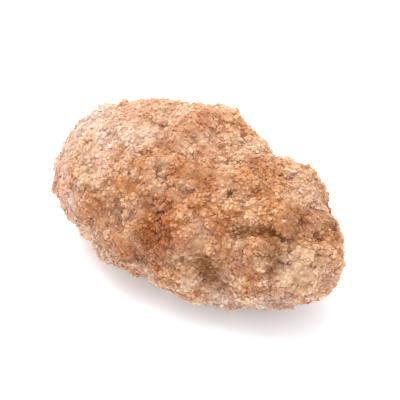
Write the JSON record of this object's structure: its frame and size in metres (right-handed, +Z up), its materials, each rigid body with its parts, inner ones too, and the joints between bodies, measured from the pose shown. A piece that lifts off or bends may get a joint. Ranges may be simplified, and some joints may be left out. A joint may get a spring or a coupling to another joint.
{
  "type": "cinnamon almond",
  "caption": "Candied cinnamon almond: a blunt egg-shaped roasted nut wholly covered by a craggy, sandy crust of crystallised sugar; a sweet that lies flat.",
  "frame": {"origin": "on the surface that the almond lies on, under the middle of its bounding box", "axes": "+X along the almond towards its blunt tip, +Y across its width, +Z up through its thickness"},
  "size_m": [0.029, 0.018, 0.014],
  "materials": {
    "sugar_crust": "matte"
  },
  "bodies": {
    "root": {"coated_almond": "sugar_crust"}
  },
  "joints": []
}
